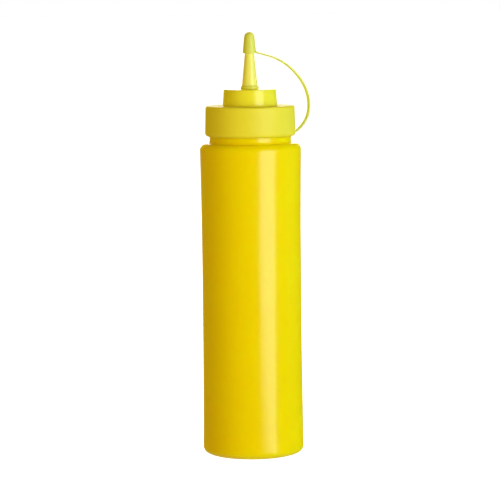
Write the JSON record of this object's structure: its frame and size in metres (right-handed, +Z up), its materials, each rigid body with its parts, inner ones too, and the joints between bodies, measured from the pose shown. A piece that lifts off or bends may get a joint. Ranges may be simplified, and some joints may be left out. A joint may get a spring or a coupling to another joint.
{
  "type": "condiment squeeze bottle",
  "caption": "Slim round plastic squeeze bottle with a screw cap, a tapered nozzle and a tip cover held by a bent strap.",
  "frame": {"origin": "centre of the base, in the plane of the ring that the bottle stands on, on the bottle's axis", "axes": "+Z up along the bottle's axis; +X towards the side on which the strap bends; the strap's middle lies in the XZ plane"},
  "size_m": [0.0564, 0.0486, 0.2028],
  "materials": {
    "bottle": "soft polyethylene, smooth, satin sheen, yellow",
    "cap": "moulded polyethylene, slightly translucent, yellow"
  },
  "bodies": {
    "root": {"bottle": "bottle", "cap": "cap"}
  },
  "joints": []
}
